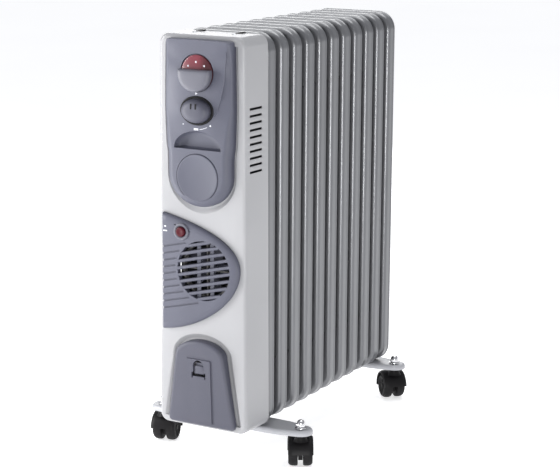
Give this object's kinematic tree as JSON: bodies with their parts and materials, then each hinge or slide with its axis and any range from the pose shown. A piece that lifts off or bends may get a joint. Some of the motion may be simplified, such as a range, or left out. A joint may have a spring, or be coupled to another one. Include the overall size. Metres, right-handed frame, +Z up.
{
  "type": "oil filled radiator heater",
  "caption": "Free-standing oil filled radiator on twin wheel casters, with a control housing, fan heater grille, turning knobs and a cord store behind a hinged cover.",
  "frame": {"origin": "on the floor, below the centre of the bounding box", "axes": "+Z up, -Y towards the front with the controls, +X to the viewer's right when facing the controls"},
  "size_m": [0.291, 0.5234, 0.642],
  "materials": {
    "fin_paint": "semi gloss grey enamel",
    "housing_paint": "semi gloss light grey enamel",
    "plated_steel": "zinc plated",
    "panel_plastic": "fine texture blue grey",
    "knob_plastic": "satin grey",
    "red_lens": "tinted clear plastic",
    "black_plastic": "satin black",
    "cream_plastic": "moulded thermoset",
    "red_plastic": "gloss red",
    "mica": "mica board",
    "white_plastic": "satin light grey",
    "copper_tube": "drawn tube",
    "chrome_plate": "bright"
  },
  "bodies": {
    "radiator": {"fin_01": "fin_paint", "fin_02": "fin_paint", "fin_03": "fin_paint", "fin_04": "fin_paint", "fin_05": "fin_paint", "fin_06": "fin_paint", "fin_07": "fin_paint", "fin_08": "fin_paint", "fin_09": "fin_paint", "fin_10": "fin_paint", "fin_11": "fin_paint", "housing": "housing_paint", "heat_shield": "plated_steel", "top_screw_left": "plated_steel", "top_screw_right": "plated_steel", "control_panel": "panel_plastic", "timer_cap": "knob_plastic", "selector_lens": "red_lens", "thermostat_ring": "black_plastic", "pilot_lamp": "red_lens", "selector_switch": "cream_plastic", "thermostat_body": "cream_plastic", "fan_cover": "panel_plastic", "button_bezel": "knob_plastic", "fan_heater": "mica", "fan_motor": "plated_steel", "cord_tray": "white_plastic", "cable_gland": "black_plastic", "terminal_block": "cream_plastic", "thermal_cutout": "black_plastic", "tilt_switch": "black_plastic", "element_flange": "plated_steel", "heating_element": "copper_tube", "foot_front": "fin_paint", "foot_rear": "fin_paint", "u_bolt_front": "plated_steel", "u_bolt_rear": "plated_steel", "acorn_nut_front_left": "chrome_plate", "acorn_nut_front_right": "chrome_plate", "acorn_nut_rear_left": "chrome_plate", "acorn_nut_rear_right": "chrome_plate"},
    "selector_knob": {"selector_knob": "knob_plastic"},
    "thermostat_knob": {"thermostat_knob": "knob_plastic"},
    "fan_button": {"fan_button": "red_plastic"},
    "fan_impeller": {"fan_impeller": "black_plastic"},
    "cord_cover": {"cord_cover": "panel_plastic"},
    "cover_latch": {"cover_latch": "panel_plastic"},
    "caster_hood_front_left": {"caster_hood_front_left": "black_plastic"},
    "caster_hood_front_right": {"caster_hood_front_right": "black_plastic"},
    "caster_hood_rear_left": {"caster_hood_rear_left": "black_plastic"},
    "caster_hood_rear_right": {"caster_hood_rear_right": "black_plastic"},
    "caster_wheel_front_left_left": {"caster_wheel_front_left_left": "black_plastic"},
    "caster_wheel_front_left_right": {"caster_wheel_front_left_right": "black_plastic"},
    "caster_wheel_front_right_left": {"caster_wheel_front_right_left": "black_plastic"},
    "caster_wheel_front_right_right": {"caster_wheel_front_right_right": "black_plastic"},
    "caster_wheel_rear_left_left": {"caster_wheel_rear_left_left": "black_plastic"},
    "caster_wheel_rear_left_right": {"caster_wheel_rear_left_right": "black_plastic"},
    "caster_wheel_rear_right_left": {"caster_wheel_rear_right_left": "black_plastic"},
    "caster_wheel_rear_right_right": {"caster_wheel_rear_right_right": "black_plastic"}
  },
  "joints": [
    {"name": "selector_turn", "type": "hinge", "parent": "radiator", "child": "selector_knob", "pos_m": [0, -0.247, 0.5895], "axis": [0, -1, 0], "range_deg": [-40, 40]},
    {"name": "thermostat_turn", "type": "hinge", "parent": "radiator", "child": "thermostat_knob", "pos_m": [0, -0.247, 0.536], "axis": [0, -1, 0], "range_deg": [-135, 135]},
    {"name": "fan_button_press", "type": "slide", "parent": "radiator", "child": "fan_button", "axis": [0, 1, 0], "range_m": [0, 0.003], "stiffness_N_per_m": 400, "springref_m": -0.0005},
    {"name": "fan_spin", "type": "hinge", "parent": "radiator", "child": "fan_impeller", "pos_m": [0.007, -0.2172, 0.304], "axis": [0, 1, 0], "continuous": true},
    {"name": "cord_cover_open", "type": "hinge", "parent": "radiator", "child": "cord_cover", "pos_m": [0, -0.2397, 0.0699], "axis": [1, 0, 0], "range_deg": [0, 80]},
    {"name": "latch_slide", "type": "slide", "parent": "cord_cover", "child": "cover_latch", "axis": [0, 0, -1], "range_m": [0, 0.003], "stiffness_N_per_m": 300, "springref_m": -0.001},
    {"name": "swivel_front_left", "type": "hinge", "parent": "radiator", "child": "caster_hood_front_left", "pos_m": [-0.12, -0.155, 0.02], "axis": [0, 0, 1], "continuous": true},
    {"name": "roll_front_left_left", "type": "hinge", "parent": "caster_hood_front_left", "child": "caster_wheel_front_left_left", "pos_m": [-0.12311, -0.14341, 0.02], "axis": [0.9659, 0.2588, 0], "continuous": true},
    {"name": "roll_front_left_right", "type": "hinge", "parent": "caster_hood_front_left", "child": "caster_wheel_front_left_right", "pos_m": [-0.12311, -0.14341, 0.02], "axis": [0.9659, 0.2588, 0], "continuous": true},
    {"name": "swivel_front_right", "type": "hinge", "parent": "radiator", "child": "caster_hood_front_right", "pos_m": [0.12, -0.155, 0.02], "axis": [0, 0, 1], "continuous": true},
    {"name": "roll_front_right_left", "type": "hinge", "parent": "caster_hood_front_right", "child": "caster_wheel_front_right_left", "pos_m": [0.114, -0.14461, 0.02], "axis": [0.866, 0.5, 0], "continuous": true},
    {"name": "roll_front_right_right", "type": "hinge", "parent": "caster_hood_front_right", "child": "caster_wheel_front_right_right", "pos_m": [0.114, -0.14461, 0.02], "axis": [0.866, 0.5, 0], "continuous": true},
    {"name": "swivel_rear_left", "type": "hinge", "parent": "radiator", "child": "caster_hood_rear_left", "pos_m": [-0.092, 0.221, 0.02], "axis": [0, 0, 1], "continuous": true},
    {"name": "roll_rear_left_left", "type": "hinge", "parent": "caster_hood_rear_left", "child": "caster_wheel_rear_left_left", "pos_m": [-0.0879, 0.23228, 0.02], "axis": [0.9397, -0.342, 0], "continuous": true},
    {"name": "roll_rear_left_right", "type": "hinge", "parent": "caster_hood_rear_left", "child": "caster_wheel_rear_left_right", "pos_m": [-0.0879, 0.23228, 0.02], "axis": [0.9397, -0.342, 0], "continuous": true},
    {"name": "swivel_rear_right", "type": "hinge", "parent": "radiator", "child": "caster_hood_rear_right", "pos_m": [0.092, 0.221, 0.02], "axis": [0, 0, 1], "continuous": true},
    {"name": "roll_rear_right_left", "type": "hinge", "parent": "caster_hood_rear_right", "child": "caster_wheel_rear_right_left", "pos_m": [0.08352, 0.22948, 0.02], "axis": [0.7071, 0.7071, 0], "continuous": true},
    {"name": "roll_rear_right_right", "type": "hinge", "parent": "caster_hood_rear_right", "child": "caster_wheel_rear_right_right", "pos_m": [0.08352, 0.22948, 0.02], "axis": [0.7071, 0.7071, 0], "continuous": true}
  ]
}
